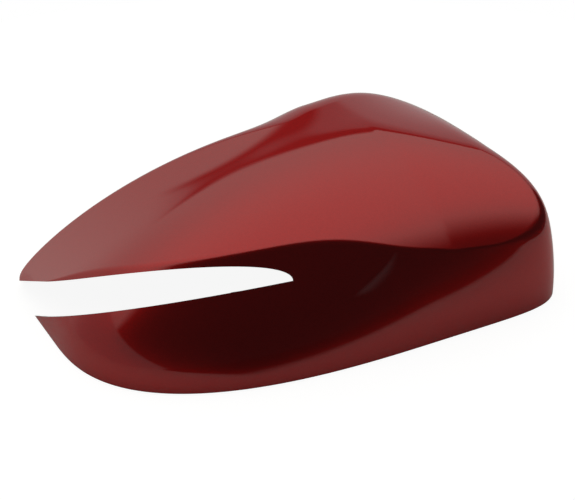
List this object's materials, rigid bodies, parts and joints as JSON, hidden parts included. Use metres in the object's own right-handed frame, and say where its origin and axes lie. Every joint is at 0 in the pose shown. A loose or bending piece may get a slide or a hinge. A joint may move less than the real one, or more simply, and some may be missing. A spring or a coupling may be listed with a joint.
{
  "type": "wing mirror cover",
  "caption": "Moulded wing mirror cap in metallic red, a creased shell with a rounded inboard shoulder and an open tapering slot for a side lamp.",
  "frame": {"origin": "centre of the bounding box in plan, on the plane of the rim that seats on the mirror housing", "axes": "+X along the length toward the inboard end, -Y toward the side with the lamp slot, +Z from the rim to the crown"},
  "size_m": [0.236, 0.1516, 0.0711],
  "materials": {
    "red_paint": "metallic red paint under clear lacquer, on moulded plastic"
  },
  "bodies": {
    "root": {"mirror_cover": "red_paint"}
  },
  "joints": []
}
